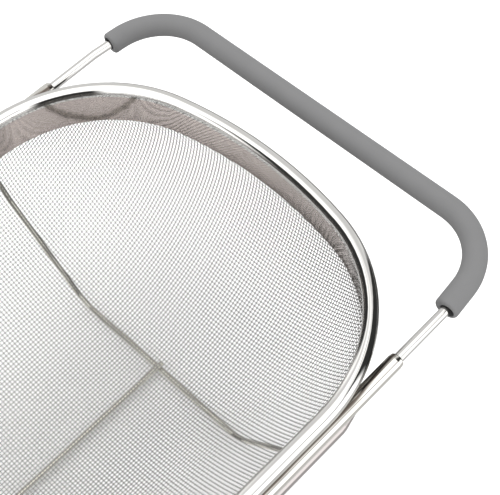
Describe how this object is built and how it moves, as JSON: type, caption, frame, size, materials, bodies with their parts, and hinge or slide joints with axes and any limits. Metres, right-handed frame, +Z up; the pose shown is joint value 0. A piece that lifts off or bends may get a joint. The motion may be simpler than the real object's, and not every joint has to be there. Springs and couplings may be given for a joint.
{
  "type": "over-the-sink mesh strainer with telescoping handles",
  "caption": "Rounded-rectangle woven steel mesh strainer basket with a rolled rim, wire feet, guide tubes and two pull-out wire handles in soft sleeves.",
  "frame": {"origin": "on the ground under the middle of the basket", "axes": "+Z up, +X along the basket's long side towards the right handle, +Y across it"},
  "size_m": [0.443, 0.253, 0.1061],
  "materials": {
    "polished_strip": "mirror-polished stainless steel strip",
    "polished_tube": "polished stainless steel tube",
    "bright_wire": "bright drawn stainless steel wire",
    "woven_mesh": "bright woven stainless steel wire cloth",
    "grip_rubber": "matte soft grey sleeve"
  },
  "bodies": {
    "basket": {"rim_band": "polished_strip", "outer_clamp_band": "polished_strip", "mesh_basket": "woven_mesh", "cross_wire_right": "bright_wire", "cross_wire_left": "bright_wire", "lengthwise_wire": "bright_wire", "guide_tube_right_front": "polished_tube", "guide_tube_right_back": "polished_tube", "guide_tube_left_front": "polished_tube", "guide_tube_left_back": "polished_tube"},
    "handle_right": {"handle_rod_right": "bright_wire", "grip_right": "grip_rubber"},
    "handle_left": {"handle_rod_left": "bright_wire", "grip_left": "grip_rubber"}
  },
  "joints": [
    {"name": "handle_right_slide", "type": "slide", "parent": "basket", "child": "handle_right", "axis": [1, 0, 0], "range_m": [-0.028, 0.08]},
    {"name": "handle_left_slide", "type": "slide", "parent": "basket", "child": "handle_left", "axis": [-1, 0, 0], "range_m": [-0.028, 0.08]}
  ]
}
